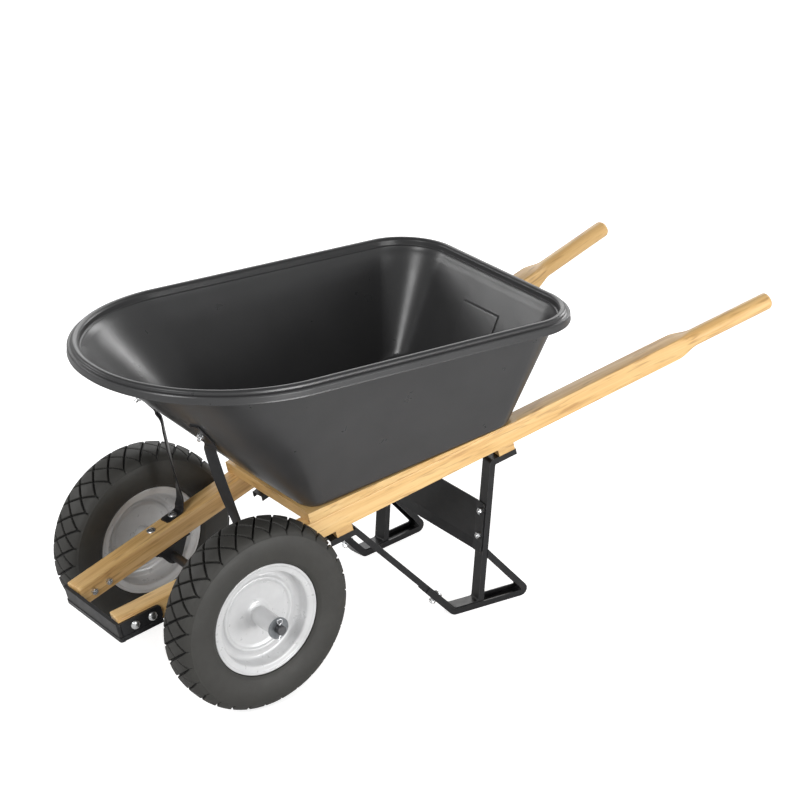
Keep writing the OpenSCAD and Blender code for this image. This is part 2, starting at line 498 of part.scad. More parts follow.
tray_bolt_nuts();
nose_bolts();
nose_nuts();
bracket_bolts();
bracket_nuts();
brace_tray_bolts();
brace_tray_nuts();
cross_plate_bolts();
cross_plate_nuts();
stabilizer_bolts();
stabilizer_nuts();
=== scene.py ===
import math

import bmesh
import bpy
import numpy as np
from mathutils import Matrix, Vector


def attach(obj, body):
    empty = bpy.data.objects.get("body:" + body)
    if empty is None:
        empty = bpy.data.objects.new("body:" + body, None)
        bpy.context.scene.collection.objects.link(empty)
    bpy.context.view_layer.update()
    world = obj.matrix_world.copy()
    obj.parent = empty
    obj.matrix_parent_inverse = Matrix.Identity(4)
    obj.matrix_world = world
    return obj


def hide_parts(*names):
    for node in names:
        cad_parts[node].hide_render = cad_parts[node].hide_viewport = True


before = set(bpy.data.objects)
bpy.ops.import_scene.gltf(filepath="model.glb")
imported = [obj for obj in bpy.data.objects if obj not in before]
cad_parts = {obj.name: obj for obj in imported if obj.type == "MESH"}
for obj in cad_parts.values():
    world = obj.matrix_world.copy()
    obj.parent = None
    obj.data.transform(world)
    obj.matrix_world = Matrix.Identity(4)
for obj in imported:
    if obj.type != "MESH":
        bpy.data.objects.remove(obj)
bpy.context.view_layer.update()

AY = -518.5                      # axle station, mm
HY = AY - 231.8                  # handle reference point at the nose
SPLAY, PITCH = 7.24, 12.48
TRACK, TYRE_R = 211.0, 197.0


def sind(a): return math.sin(math.radians(a))
def cosd(a): return math.cos(math.radians(a))
def tand(a): return math.tan(math.radians(a))


def mirrored(s):
    return Matrix.Diagonal((s, 1, 1, 1))


def handle_frame(s):
    return (mirrored(s) @ Matrix.Translation((78.5, HY, 195)) @ Matrix.Rotation(math.radians(-SPLAY), 4, "Z")
            @ Matrix.Rotation(math.radians(PITCH), 4, "X"))


def from_handle(n, s, z):
    return Vector(handle_frame(1) @ Vector((n, s, z)))


# ---------------------------------------------------------------- materials
class Nodes:
    def __init__(self, name):
        self.mat = bpy.data.materials.new(name)
        self.mat.use_nodes = True
        self.nt = self.mat.node_tree
        self.nt.nodes.clear()
        self.out = self.nt.nodes.new("ShaderNodeOutputMaterial")
        self.bsdf = self.nt.nodes.new("ShaderNodeBsdfPrincipled")
        self.nt.links.new(self.bsdf.outputs[0], self.out.inputs[0])
        self.tc = self.nt.nodes.new("ShaderNodeTexCoord")

    def new(self, kind, **props):
        n = self.nt.nodes.new(kind)
        for k, v in props.items():
            setattr(n, k, v)
        return n

    def link(self, a, b):
        self.nt.links.new(a, b)

    def mapping(self, rot=(0, 0, 0), scale=(1, 1, 1), loc=(0, 0, 0), src=None):
        m = self.new("ShaderNodeMapping")
        m.inputs["Location"].default_value = loc
        m.inputs["Rotation"].default_value = rot
        m.inputs["Scale"].default_value = scale
        self.link(src or self.tc.outputs["Object"], m.inputs["Vector"])
        return m.outputs[0]

    def noise(self, vec, scale, detail=3.0, rough=0.5, distort=0.0):
        n = self.new("ShaderNodeTexNoise")
        self.link(vec, n.inputs["Vector"])
        n.inputs["Scale"].default_value = scale
        n.inputs["Detail"].default_value = detail
        n.inputs["Roughness"].default_value = rough
        n.inputs["Distortion"].default_value = distort
        return n.outputs["Fac"]

    def ramp(self, fac, stops, interp="LINEAR"):
        r = self.new("ShaderNodeValToRGB")
        self.link(fac, r.inputs[0])
        r.color_ramp.interpolation = interp
        els = r.color_ramp.elements
        while len(els) < len(stops):
            els.new(0.5)
        for el, (p, c) in zip(els, stops):
            el.position = p
            el.color = (c, c, c, 1) if isinstance(c, (int, float)) else (*c, 1)
        return r.outputs[0]

    def maprange(self, fac, a, b, c, d):
        m = self.new("ShaderNodeMapRange")
        self.link(fac, m.inputs[0])
        for i, v in enumerate((a, b, c, d)):
            m.inputs[i + 1].default_value = v
        return m.outputs[0]

    def mix(self, fac, a, b, blend="MIX"):
        m = self.new("ShaderNodeMix", data_type="RGBA", blend_type=blend)
        if isinstance(fac, (int, float)):
            m.inputs[0].default_value = fac
        else:
            self.link(fac, m.inputs[0])
        for sock, v in ((m.inputs[6], a), (m.inputs[7], b)):
            if isinstance(v, tuple):
                sock.default_value = (*v, 1)
            else:
                self.link(v, sock)
        return m.outputs[2]

    def bump(self, height, strength, distance, normal=None):
        b = self.new("ShaderNodeBump")
        b.inputs["Strength"].default_value = strength
        b.inputs["Distance"].default_value = distance
        self.link(height, b.inputs["Height"])
        if normal is not None:
            self.link(normal, b.inputs["Normal"])
        return b.outputs[0]

    def edge(self, radius, lo, hi):
        """1 along outside and inside edges, 0 on the flats."""
        bev = self.new("ShaderNodeBevel")
        bev.samples = 4
        bev.inputs["Radius"].default_value = radius
        geo = self.new("ShaderNodeNewGeometry")
        dot = self.new("ShaderNodeVectorMath", operation="DOT_PRODUCT")
        self.link(bev.outputs[0], dot.inputs[0])
        self.link(geo.outputs["Normal"], dot.inputs[1])
        return self.maprange(dot.outputs["Value"], lo, hi, 1.0, 0.0)

    def set(self, **kw):
        for k, v in kw.items():
            self.bsdf.inputs[k.replace("_", " ")].default_value = v


def tub_poly():
    m = Nodes("tub_poly")
    v = m.tc.outputs["Object"]
    mott = m.noise(v, 9.0, 4.0, 0.55)
    col = m.ramp(mott, [(0.3, (0.034, 0.034, 0.035)), (0.7, (0.043, 0.043, 0.044))])
    fine = m.noise(v, 900.0, 2.0, 0.6)
    m.link(m.mix(0.18, col, m.ramp(fine, [(0.35, (0.024, 0.024, 0.025)), (0.75, (0.062, 0.062, 0.064))])), m.bsdf.inputs["Base Color"])
    m.link(m.maprange(m.noise(v, 14.0, 5.0, 0.6), 0.3, 0.7, 0.27, 0.34), m.bsdf.inputs["Roughness"])
    wave = m.bump(m.noise(v, 5.0, 2.0, 0.4), 0.10, 0.010)
    m.link(m.bump(m.noise(v, 1100.0, 3.0, 0.6), 0.10, 0.0006, wave), m.bsdf.inputs["Normal"])
    m.set(Specular_IOR_Level=0.5)
    return m.mat


def wood(name, rot, seed, tint=1.0):
    m = Nodes(name)
    # local frame with the grain along Y
    base = m.mapping(rot=rot, loc=(0.37 * seed, 0.11 * seed, 0.53 * seed))
    long1 = m.mapping(scale=(1, 0.045, 1), src=base)
    long2 = m.mapping(scale=(1, 0.018, 1), src=base)
    long3 = m.mapping(scale=(1, 0.09, 1), src=base)
    warp = m.noise(m.mapping(scale=(1, 0.12, 1), src=base), 14.0, 3.0, 0.5)
    bands = m.noise(long1, 62.0, 5.0, 0.62, 1.1)
    pores = m.noise(long2, 620.0, 3.0, 0.65)
    light = (0.800 * tint, 0.535 * tint, 0.230 * tint)
    mid = (0.700 * tint, 0.430 * tint, 0.160 * tint)
    dark = (0.500 * tint, 0.260 * tint, 0.080 * tint)
    col = m.ramp(bands, [(0.30, dark), (0.43, mid), (0.58, light), (0.80, (0.86 * tint, 0.62 * tint, 0.30 * tint))])
    col = m.mix(m.maprange(warp, 0.35, 0.72, 0.0, 0.45), col, (0.760 * tint, 0.470 * tint, 0.185 * tint))
    # short darker flecks and fine open pores
    fleck = m.noise(long3, 150.0, 2.0, 0.5, 0.3)
    col = m.mix(m.ramp(fleck, [(0.56, 0.0), (0.70, 0.55)]), col, (0.36 * tint, 0.17 * tint, 0.048 * tint))
    col = m.mix(m.ramp(pores, [(0.56, 0.0), (0.72, 0.30)]), col, (0.46 * tint, 0.25 * tint, 0.09 * tint))
    m.link(col, m.bsdf.inputs["Base Color"])
    m.link(m.maprange(bands, 0.3, 0.7, 0.46, 0.34), m.bsdf.inputs["Roughness"])
    n1 = m.bump(bands, 0.12, 0.0012)
    m.link(m.bump(pores, 0.22, 0.0004, n1), m.bsdf.inputs["Normal"])
    m.set(Coat_Weight=0.25, Coat_Roughness=0.22)
    return m.mat


def black_paint():
    m = Nodes("black_paint")
    v = m.tc.outputs["Object"]
    # painted highlight: the edges found by the bevel mask get a lighter colour where they would catch light
    e = m.edge(0.0016, 0.80, 0.995)
    edge_highlight = m.mix(m.maprange(m.noise(v, 130.0, 4.0, 0.6), 0.40, 0.70, 0.0, 1.0), (0.030, 0.030, 0.031), (0.085, 0.085, 0.088))
    base = m.ramp(m.noise(v, 40.0, 4.0, 0.6), [(0.3, (0.011, 0.011, 0.012)), (0.75, (0.018, 0.018, 0.019))])
    m.link(m.mix(e, base, edge_highlight), m.bsdf.inputs["Base Color"])
    m.link(m.maprange(m.noise(v, 70.0, 5.0, 0.6), 0.3, 0.7, 0.28, 0.38), m.bsdf.inputs["Roughness"])
    m.link(m.bump(m.noise(v, 1500.0, 3.0, 0.6), 0.12, 0.0003), m.bsdf.inputs["Normal"])
    m.set(Specular_IOR_Level=0.34, Coat_Weight=0.05, Coat_Roughness=0.3)
    return m.mat


def wheel_paint():
    m = Nodes("wheel_paint")
    v = m.tc.outputs["Object"]
    base = m.ramp(m.noise(v, 30.0, 4.0, 0.6), [(0.3, (0.58, 0.582, 0.585)), (0.75, (0.64, 0.642, 0.646))])
    # painted highlight: the edges found by the bevel mask are mixed toward a lighter grey where they would catch
    # light
    e = m.edge(0.0015, 0.80, 0.995)
    m.link(m.mix(m.maprange(e, 0.0, 1.0, 0.0, 0.35), base, (0.74, 0.745, 0.75)), m.bsdf.inputs["Base Color"])
    m.link(m.maprange(m.noise(v, 55.0, 4.0, 0.6), 0.3, 0.7, 0.26, 0.36), m.bsdf.inputs["Roughness"])
    m.link(m.bump(m.noise(v, 520.0, 2.0, 0.5), 0.06, 0.0004), m.bsdf.inputs["Normal"])
    m.set(Metallic=0.15, Coat_Weight=0.35, Coat_Roughness=0.18)
    return m.mat


def plated(name, col, rough, seed):
    m = Nodes(name)
    v = m.mapping(loc=(seed, 0.3 * seed, 0.7 * seed))
    c2 = tuple(x * 0.80 for x in col)
    m.link(m.ramp(m.noise(v, 160.0, 4.0, 0.6), [(0.32, c2), (0.68, col)]), m.bsdf.inputs["Base Color"])
    m.link(m.maprange(m.noise(v, 420.0, 4.0, 0.6), 0.3, 0.7, rough - 0.06, rough + 0.08), m.bsdf.inputs["Roughness"])
    m.link(m.bump(m.noise(v, 1800.0, 2.0, 0.5), 0.08, 0.0002), m.bsdf.inputs["Normal"])
    m.set(Metallic=1.0)
    return m.mat


def rubber(name, k):
    m = Nodes(name)
    v = m.tc.outputs["Object"]
    base = m.ramp(m.noise(v, 26.0, 5.0, 0.6), [(0.3, (0.030 * k, 0.029 * k, 0.026 * k)), (0.75, (0.039 * k, 0.038 * k, 0.034 * k))])
    fine = m.noise(v, 1300.0, 2.0, 0.6)
    m.link(m.mix(0.25, base, m.ramp(fine, [(0.3, (0.021 * k, 0.020 * k, 0.018 * k)), (0.8, (0.056 * k, 0.054 * k, 0.049 * k))])), m.bsdf.inputs["Base Color"])
    m.link(m.maprange(m.noise(v, 48.0, 4.0, 0.6), 0.3, 0.7, 0.52, 0.62), m.bsdf.inputs["Roughness"])
    m.link(m.bump(fine, 0.14, 0.0004), m.bsdf.inputs["Normal"])
    m.set(Specular_IOR_Level=0.42)
    return m.mat


def euler_to_local(mat4):
    """Rotation that takes world directions into the frame of mat4 (for a Mapping node)."""
    return tuple(mat4.to_3x3().normalized().inverted().to_euler("XYZ"))


M_POLY = tub_poly()
M_WOOD_R = wood("handle_wood_right", euler_to_local(handle_frame(1)), 1.0)
M_WOOD_L = wood("handle_wood_left", tuple((Matrix.Rotation(math.radians(SPLAY), 4, "Z") @ Matrix.Rotation(math.radians(PITCH), 4, "X")).to_3x3().inverted().to_euler("XYZ")), 5.3)
M_WEDGE = wood("packing_wood", tuple(Matrix.Rotation(math.radians(PITCH), 4, "X").to_3x3().inverted().to_euler("XYZ")), 9.1, 0.93)
M_RISER = wood("riser_wood", (0, 0, math.radians(90)), 12.7, 0.88)
M_BLACK = black_paint()
M_WHEEL = wheel_paint()
M_ZINC = plated("bolt_zinc", (0.78, 0.79, 0.80), 0.26, 0.4)
M_AXLE = plated("axle_steel", (0.30, 0.315, 0.33), 0.36, 1.9)
M_ROD = plated("axle_rod_steel", (0.17, 0.17, 0.175), 0.42, 2.6)
M_PIN = plated("cotter_zinc", (0.72, 0.73, 0.75), 0.28, 4.2)
M_BUSH = plated("bush_steel", (0.42, 0.40, 0.37), 0.42, 3.1)
M_RUBBER = rubber("tyre_rubber", 1.0)
# painted shade: a much darker rubber for the groove floors, standing in for shade in the recesses
M_GROOVE_SHADE = rubber("tyre_groove_painted_shade", 0.22)

MAT_OF = {
    "left_handle": M_WOOD_L, "right_handle": M_WOOD_R, "left_wedge": M_WEDGE, "right_wedge": M_WEDGE,
    "front_leg_blocks": M_WEDGE, "rear_leg_blocks": M_WEDGE, "front_riser": M_RISER,
    "axle": M_ROD, "axle_inner_washers": M_AXLE, "axle_outer_washers": M_AXLE, "cotter_pins": M_AXLE,
    "tray": M_POLY,
}


def material_of(node):
    if node in MAT_OF:
        return MAT_OF[node]
    if node.endswith("tyre"):
        return M_RUBBER
    if node.endswith("rim") or node.endswith("_hub"):
        return M_WHEEL
    if node.endswith("bushes"):
        return M_BUSH
    if "bolts" in node or "nuts" in node:
        return M_ZINC
    return M_BLACK


BEVELS = {"wedge": 0.0012, "riser": 0.0012, "blocks": 0.0012, "leg": 0.0006, "stabilizer": 0.0006, "plate": 0.0006,
          "guard": 0.0009, "dump": 0.0022, "bracket": 0.0006, "nuts": 0.0006}
for name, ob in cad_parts.items():
    mat = material_of(name)
    if not ob.data.materials:
        ob.data.materials.append(mat)
    for i in range(len(ob.material_slots)):
        ob.material_slots[i].link = "OBJECT"
        ob.material_slots[i].material = mat
    width = next((w for k, w in BEVELS.items() if k in name and not name.startswith("axle")), None)
    if width:
        weld = ob.modifiers.new("weld", "WELD")
        weld.merge_threshold = 2e-6
        dec = ob.modifiers.new("flat", "DECIMATE")
        dec.decimate_type = "DISSOLVE"
        dec.angle_limit = math.radians(0.6)
        bev = ob.modifiers.new("bevel", "BEVEL")
        bev.width = width
        bev.segments = 2
        bev.limit_method = "ANGLE"
        bev.angle_limit = math.radians(38)
        bev.harden_normals = True
        bev.use_clamp_overlap = True


# ---------------------------------------------------------------- mesh helpers
def make(name, verts, faces, mat, body, replaces=(), sharp=40, scale=0.001):
    me = bpy.data.meshes.new(name)
    me.from_pydata([tuple(float(c) * scale for c in v) for v in verts], [], faces)
    bm = bmesh.new()
    bm.from_mesh(me)
    bmesh.ops.remove_doubles(bm, verts=bm.verts, dist=1e-7)
    bmesh.ops.recalc_face_normals(bm, faces=bm.faces)
    bm.to_mesh(me)
    bm.free()
    for p in me.polygons:
        p.use_smooth = True
    me.set_sharp_from_angle(angle=math.radians(sharp))
    me.materials.append(mat)
    ob = bpy.data.objects.new(name, me)
    bpy.context.scene.collection.objects.link(ob)
    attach(ob, body)
    for n in replaces:
        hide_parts(n)
    return ob


def rings_to_faces(nr, nc, closed_c=True, closed_r=False):
    faces = []
    for i in range(nr if closed_r else nr - 1):
        i2 = (i + 1) % nr
        for j in range(nc if closed_c else nc - 1):
            j2 = (j + 1) % nc
            faces.append((i * nc + j, i * nc + j2, i2 * nc + j2, i2 * nc + j))
    return faces


def fillet(pts, radii, n=5, closed=False):
    """Polyline in 2-D with its corners rounded."""
    out = []
    m = len(pts)
    P = [np.array(p, float) for p in pts]
    for i in range(m):
        r = radii[i]
        if r <= 0 or (not closed and i in (0, m - 1)):
            out.append(P[i])
            continue
        a, b = P[i - 1] - P[i], P[(i + 1) % m] - P[i]
        la, lb = np.linalg.norm(a), np.linalg.norm(b)
        a, b = a / la, b / lb
        c = float(np.clip(a @ b, -1, 1))
        half = math.acos(c) / 2
        if half > math.radians(88.5):
            out.append(P[i])
            continue
        L = min(r / math.tan(half), 0.49 * la, 0.49 * lb)
        r2 = L * math.tan(half)
        mid = (a + b) / np.linalg.norm(a + b)
        cen = P[i] + mid * (r2 / math.sin(half))
        s0, s1 = P[i] + a * L - cen, P[i] + b * L - cen
        a0 = math.atan2(s0[1], s0[0])
        d = (math.atan2(s1[1], s1[0]) - a0 + math.pi) % (2 * math.pi) - math.pi
        for k in range(n + 1):
            t = a0 + d * k / n
            out.append(cen + r2 * np.array([math.cos(t), math.sin(t)]))
    return out


def lathe(name, prof, side, mat, body, replaces=(), seg=160, sharp=50, closed=True):
    """prof: (radius, distance outward from the wheel's centre plane)."""
    verts = []
    for r, x in prof:
        for k in range(seg):
            a = 2 * math.pi * k / seg
            verts.append((side * (TRACK + x), AY + r * math.cos(a), TYRE_R + r * math.sin(a)))
    return make(name, verts, rings_to_faces(len(prof), seg, True, closed), mat, body, replaces, sharp)


def tube(name, pts, radius, mat, body, replaces=(), seg=10, caps=True):
    P = [np.array(p, float) for p in pts]
    verts, up = [], None
    for i, p in enumerate(P):
        t = P[min(i + 1, len(P) - 1)] - P[max(i - 1, 0)]
        t = t / np.linalg.norm(t)
        if up is None:
            up = np.cross(t, [0.3, 0.9, 0.31])
        up = up - t * (up @ t)
        up = up / np.linalg.norm(up)
        w = np.cross(t, up)
        for k in range(seg):
            a = 2 * math.pi * k / seg
            verts.append(p + radius * (math.cos(a) * up + math.sin(a) * w))
    faces = rings_to_faces(len(P), seg)
    if caps:
        faces.append(tuple(range(seg))[::-1])
        faces.append(tuple(range((len(P) - 1) * seg, len(P) * seg)))
    return make(name, verts, faces, mat, body, replaces, 50)


# ---------------------------------------------------------------- tray
RIM_Z, RIM_TILT, FLOOR_TILT = 680.0, 3.38, 9.8
RHR, RHF, RIM_REAR, TRAY_T = 301.0, 299.0, 784.0, 4.0
RIM_RC, RIM_YF, RIM_B, RIM_CX = 130.0, 109.0, 325.5, 4.0


def floor_half(y): return 78.5 + tand(SPLAY) * (y + 231.8) + 19
def rim_h(y): return RIM_Z - tand(RIM_TILT) * (y - 300)
def floor_h(y): return 332.9 + tand(FLOOR_TILT) * (y - 172.9)


def top_pt(f):
    if f > 0:
        return np.array([RHR - RIM_RC + RIM_RC * cosd(f), RIM_REAR - RIM_RC + RIM_RC * sind(f)])
    a = RHF - RIM_CX
    t = math.atan2(RIM_B * sind(f), a * cosd(f))
    return np.array([RIM_CX + a * math.cos(t), RIM_YF + RIM_B * math.sin(t)])


def low_pt(f):
    if f > 0:
        return np.array([floor_half(650) - 44 + 42 * cosd(f), 650 - 42 + 42 * sind(f)])
    return np.array([floor_half(180) - 35 + 35 * cosd(f), 180 + 35 + 35 * sind(f)])


def nrm(f): return np.array([cosd(f), sind(f)])


def wall(f, t, i):
    a, b = low_pt(f), top_pt(f) - nrm(f) * 24
    p = a + (b - a) * t - nrm(f) * i
    return np.array([p[0], p[1] + AY, floor_h(a[1]) + (rim_h(b[1]) - 14 - floor_h(a[1])) * t])


def rimp(f, i, dz):
    p = top_pt(f) - nrm(f) * i
    return np.array([p[0], p[1] + AY, rim_h(p[1]) + dz])


def flr(f, i, dz):
    p = low_pt(f) - nrm(f) * i
    return np.array([p[0], p[1] + AY, floor_h(p[1]) + dz])


def smooth(x): x = min(max(x, 0.0), 1.0); return x * x * (3 - 2 * x)


def tray_columns():
    cols = []                                   # fa, sign a, fb, sign b, weight, rear x weight or None
    right = []
    for k in range(30):
        f = 90 - 87 * k / 29
        right.append((f, 1, f, 1, 0.0, None))
    for k in range(1, 30):
        right.append((3, 1, -3, 1, k / 30, None))
    for k in range(61):
        f = -3 - 87 * k / 60
        right.append((f, 1, f, 1, 0.0, None))
    cols += right
    for k in range(1, 4):
        cols.append((-90, 1, -90, -1, k / 4, None))
    for fa, sa, fb, sb, w, _ in reversed(right):
        cols.append((fa, -sa, fb, -sb, w, None))
    xs = sorted(set([round(v, 4) for v in list(np.linspace(-0.97, 0.97, 36))] + [s * (0.335 + d) for s in (1, -1) for d in (-0.030, -0.018, -0.008, -0.003, 0.003, 0.008, 0.018)]))
    for x in xs:
        cols.append((90, -1, 90, 1, (x + 1) / 2, x))
    return cols


def tray():
    cols = tray_columns()
    rings = []                                   # each a function of f and the rear weight

    def add(fn):
        rings.append(fn)
    for i in (34, 20):
        add(lambda f, x, i=i: flr(f, i, 0))
    for i, dz in ((9, 0.0), (5.5, 0.35), (3.0, 1.3), (1.2, 3.0)):
        add(lambda f, x, i=i, dz=dz: flr(f, i, dz))
    for t in [0.022, 0.035] + list(np.linspace(0.06, 0.95, 19)):
        add(lambda f, x, t=t: wall(f, t, 0))
    outer = fillet([(24.2, -28), (21.5, -18), (20, -10.5), (4.2, -10.5), (3.4, -24.6), (1.6, -26.2), (-0.6, -25.2), (0.3, -22.6), (0.5, -12.5),
                    (2.0, -9.2), (6.6, -8.6), (8.2, -7.0), (8.8, -3.0), (12.0, -0.3), (16.2, 0.2), (20.4, -1.2), (23.4, -4.8), (24.8, -14.6), (27.9, -16.4), (28.6, -19.5)],
                   [0, 4, 2, 1.5, 0.8, 1.2, 0.8, 0.8, 3, 1.2, 0.8, 0.8, 3, 4, 6, 4, 3, 1.2, 1.0, 0], 3)
    for i, dz in outer:
        add(lambda f, x, i=i, dz=dz: rimp(f, i, dz))
    ts = sorted(set(list(np.linspace(0.90, 0.10, 14)) + [0.735, 0.728, 0.723, 0.719, 0.714, 0.709, 0.700]), reverse=True)

    def inner(f, x, t):
        extra = 0.0
        if x is not None:
            edge = smooth((0.341 - abs(x)) / 0.010)
            extra = 3.4 * edge * smooth((0.724 - t) / 0.012) * smooth((t - 0.06) / 0.10)
        return wall(f, t, TRAY_T + extra)
    for t in [0.955] + ts:
        add(lambda f, x, t=t: inner(f, x, t))
    for t, i in ((0.07, TRAY_T), (0.045, TRAY_T + 0.8)):
        add(lambda f, x, t=t, i=i: wall(f, t, i))
    for i, dz in ((9.0, TRAY_T + 3.6), (12.5, TRAY_T + 1.4), (17, TRAY_T + 0.3), (23, TRAY_T), (34, TRAY_T)):
        add(lambda f, x, i=i, dz=dz: flr(f, i, dz))
    verts = []
    for fn in rings:
        for fa, sa, fb, sb, w, x in cols:
            a = fn(fa, x) * (sa, 1, 1)
            verts.append(a if w == 0 else a * (1 - w) + fn(fb, x) * (sb, 1, 1) * w)
    n = len(cols)
    faces = rings_to_faces(len(rings), n)
    faces.append(tuple(range(n)))
    faces.append(tuple(range((len(rings) - 1) * n, len(rings) * n)))
    return make("tub_shell", verts, faces, M_POLY, "cart", ("tray",), 38)


tray()


# ---------------------------------------------------------------- handles
def handle(s, name, mat):
    L, G = 1565.0, 228.0
    y0, y1 = L - G - 20, L - G + 34              # shoulder where the square turns into the round grip
    st = [(-5.0, 1.6), (-4.6, 0.7), (-3.4, 0.0)]
    ys = [y for y, _ in st] + list(np.linspace(8, y0, 46)) + list(np.linspace(y0, y1, 19))[1:] + list(np.linspace(y1, L - 10, 8))[1:]
    ys += [L - 10 + 10 * sind(a) for a in range(10, 91, 10)]
    rings = []
    for y in ys:
        k = smooth((y - y0) / (y1 - y0))
        hx, hz = 20 + (18.5 - 20) * k, 22.5 + (18.5 - 22.5) * k
        r = 3.4 + (18.5 - 3.4) * smooth((y - y0 + 4) / (y1 - y0))
        inset = 0.0
        if y < -3.3:
            inset = {-5.0: 1.6, -4.6: 0.7, -3.4: 0.0}[y]
        if y > L - 10:
            a = math.asin(min((y - L + 10) / 10, 1))
            inset = 10 * (1 - math.cos(a))
        hx, hz = hx - inset, hz - inset
        r = min(max(r - inset, 0.3), hx, hz)
        ring = []
        for q, (cx, cz) in enumerate(((1, 1), (-1, 1), (-1, -1), (1, -1))):
            for k2 in range(8):
                a = math.radians(90 * q + 90 * k2 / 7)
                ring.append((cx * (hx - r) + r * math.cos(a), y, cz * (hz - r) + r * math.sin(a)))
        rings.append(ring)
    F = handle_frame(s)
    verts = [F @ Vector(p) for ring in rings for p in ring]
    n = len(rings[0])
    faces = rings_to_faces(len(rings), n)
    faces.append(tuple(range(n)))
    faces.append(tuple(range((len(rings) - 1) * n, len(rings) * n)))
    return make(name, verts, faces, mat, "cart", (name.replace("_shaft", ""),), 42)


handle(1, "right_handle_shaft", M_WOOD_R)
handle(-1, "left_handle_shaft", M_WOOD_L)


# ---------------------------------------------------------------- wheels
def tyre_half_profile():
    """Crown to rim: (distance from the centre plane, radius, arc length)."""
    pts = []
    for a in np.linspace(0, 88, 400):
        pts.append((48 * sind(a) ** 0.72, 150 + 47 * cosd(a) ** 0.62))
    # lower sidewall down to the rim flange
    p0 = np.array(pts[-1])
    c0, c1, p1 = np.array([47.6, 144.0]), np.array([44.4, 127.0]), np.array([38.4, 119.0])
    for t in np.linspace(0, 1, 80)[1:]:
        q = (1 - t) ** 3 * p0 + 3 * t * (1 - t) ** 2 * c0 + 3 * t * t * (1 - t) * c1 + t ** 3 * p1
        pts.append(tuple(q))
    P = np.array(pts)
    s = np.concatenate([[0], np.cumsum(np.linalg.norm(np.diff(P, axis=0), axis=1))])
    return P, s


def tyre(side, name, body, seed):
    P, S = tyre_half_profile()
    total = S[-1]
    tread_end = 54.0
    h = 27.3
    sv = 1.5 * h
    half = list(np.arange(0.55, tread_end, 1.1)) + list(np.linspace(tread_end, total, 26))
    rows = [-v for v in reversed(half)] + half
    nseg = 1080
    th = np.arange(nseg) * 360.0 / nseg
    verts = np.zeros((len(rows), nseg, 3))
    cut = np.zeros((len(rows), nseg))
    for ri, s in enumerate(rows):
        a = abs(s)
        x = np.interp(a, S, P[:, 0])
        r = np.interp(a, S, P[:, 1])
        # outward normal of the profile
        x2, r2 = np.interp(a + 0.3, S, P[:, 0]), np.interp(a + 0.3, S, P[:, 1])
        x1, r1 = np.interp(max(a - 0.3, 0), S, P[:, 0]), np.interp(max(a - 0.3, 0), S, P[:, 1])
        t = np.array([x2 - x1, r2 - r1])
        t = t / np.linalg.norm(t)
        nx, nr = -t[1], t[0]
        if nr < 0 and nx < 0:
            nx, nr = -nx, -nr
        d = np.zeros(nseg)
        if a < sv + 12:
            p = th / 12.0 + s / h / 2 + 0.25
            q = th / 12.0 - s / h / 2 - 0.25
            dp = np.abs((p + 0.5) % 1.0 - 0.5) / 0.0304
            dq = np.abs((q + 0.5) % 1.0 - 0.5) / 0.0304
            dist = np.minimum(dp, dq)
            wide = 1.95 - 0.35 * smooth((a - 20) / 22)
            deep = 5.2 - 1.6 * smooth((a - 26) / 15)
            g = np.clip((dist - wide + 0.55) / 1.1, 0, 1)
            g = 1 - g * g * (3 - 2 * g)
            if a > sv:
                # only the short spur beyond the tip of each lug
                phase = th / 12.0 + (0.5 if s > 0 else -0.5)
                tip = (1.5 * 0.5 + 0.25) if s > 0 else (-1.5 * 0.5 + 0.25)
                u = np.abs(((th / 12.0 + tip) + 0.5) % 1.0 - 0.5) * 12.0 * math.pi / 180 * r
                g2 = np.clip((u - 0.75) / 0.9, 0, 1)
                g = (1 - g2 * g2 * (3 - 2 * g2)) * (1 - smooth((a - sv - 3) / 7.5))
                deep = 3.4
            d = -deep * g
            cut[ri] = g
        # fine moulded rings on the sidewall
        for rc, hh, ww in ((178.0, 0.55, 1.3), (126.0, 0.6, 2.2)):
            d = d + hh * math.exp(-((r - rc) / ww) ** 2) * (1 if a > sv + 4 else 0)
        X, R = x + nx * d, r + nr * d
        ang = np.radians(th + seed)
        verts[ri, :, 0] = side * (TRACK + (X if s > 0 else -X))
        verts[ri, :, 1] = AY + R * np.cos(ang)
        verts[ri, :, 2] = TYRE_R + R * np.sin(ang)
    extra = []
    for x, r in ((33.5, 118.4), (30.6, 114.8), (30.6, 102.0), (-30.6, 102.0), (-30.6, 114.8), (-33.5, 118.4)):
        ang = np.radians(th + seed)
        ring = np.zeros((nseg, 3))
        ring[:, 0] = side * (TRACK + x)
        ring[:, 1] = AY + r * np.cos(ang)
        ring[:, 2] = TYRE_R + r * np.sin(ang)
        extra.append(ring)
    V = np.concatenate([verts.reshape(-1, 3)] + extra)
    ob = make(name, V, rings_to_faces(len(rows) + 6, nseg, True, True), M_RUBBER, body, (body.split("_")[0] + "_tyre",), 46)
    # deep groove faces get the darker rubber as painted shade in the recesses
    ob.data.materials.append(M_GROOVE_SHADE)
    deep_v = np.concatenate([cut.reshape(-1), np.zeros(6 * nseg)])
    for poly in ob.data.polygons:
        if sum(deep_v[v] for v in poly.vertices) > 2.2:
            poly.material_index = 1
    return ob


